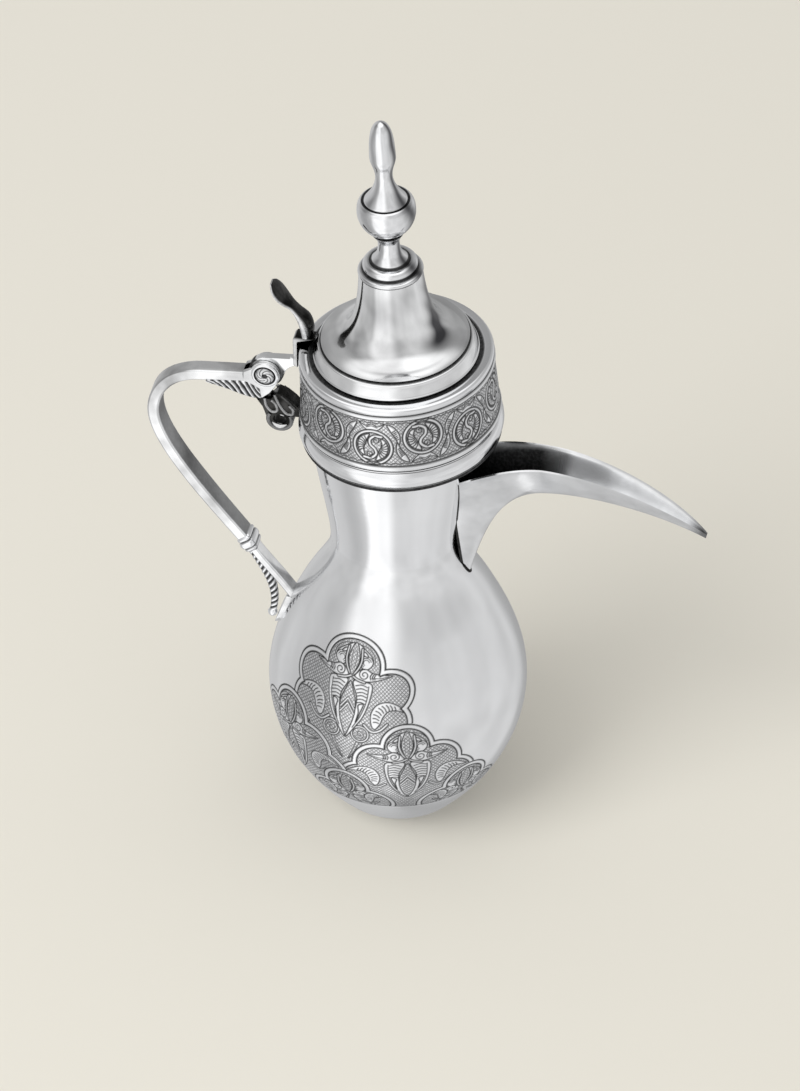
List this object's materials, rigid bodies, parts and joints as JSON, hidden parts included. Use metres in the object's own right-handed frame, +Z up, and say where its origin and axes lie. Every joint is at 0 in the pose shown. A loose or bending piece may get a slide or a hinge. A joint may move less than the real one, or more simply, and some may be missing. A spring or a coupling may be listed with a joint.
{
  "type": "coffee pot",
  "caption": "Dallah coffee pot in polished silver: waisted body, open crescent spout, strap handle and a bell-shaped lid on a pinned hinge.",
  "frame": {"origin": "centre of the foot's underside", "axes": "+Z up along the axis of the body, +X towards the spout, -X towards the handle, +Y across the pot along the hinge pin"},
  "size_m": [0.2005, 0.0928, 0.2999],
  "materials": {
    "silver": "polished",
    "dark_silver": "oxidised"
  },
  "bodies": {
    "pot": {"belly": "silver", "neck": "silver", "foot_ring": "silver", "base_plate": "silver", "collar_skirt": "silver", "collar_band": "silver", "collar_rim": "silver", "spout": "silver", "handle_bar": "silver", "handle_knuckle": "silver", "handle_tail": "silver", "tail_feather": "silver", "tail_ball": "silver", "handle_foot": "silver", "fork_cheek_left": "silver", "fork_cheek_right": "silver", "fork_bridge": "dark_silver", "hinge_bracket": "dark_silver", "hinge_pin": "silver", "pin_rosette_left": "silver", "pin_rosette_right": "silver"},
    "lid": {"lid_arm": "silver", "thumbpiece": "dark_silver", "lid_rim": "silver", "lid_bezel": "silver", "lid_bell": "silver", "crown_ring": "silver", "finial_stem": "silver", "finial_ball": "silver", "finial_bud": "silver", "finial_stud": "silver", "finial_nut": "silver", "finial_washer": "silver"}
  },
  "joints": [
    {"name": "lid_hinge", "type": "hinge", "parent": "pot", "child": "lid", "pos_m": [-0.045, 0, 0.1844], "axis": [0, -1, 0], "range_deg": [0, 75]}
  ]
}
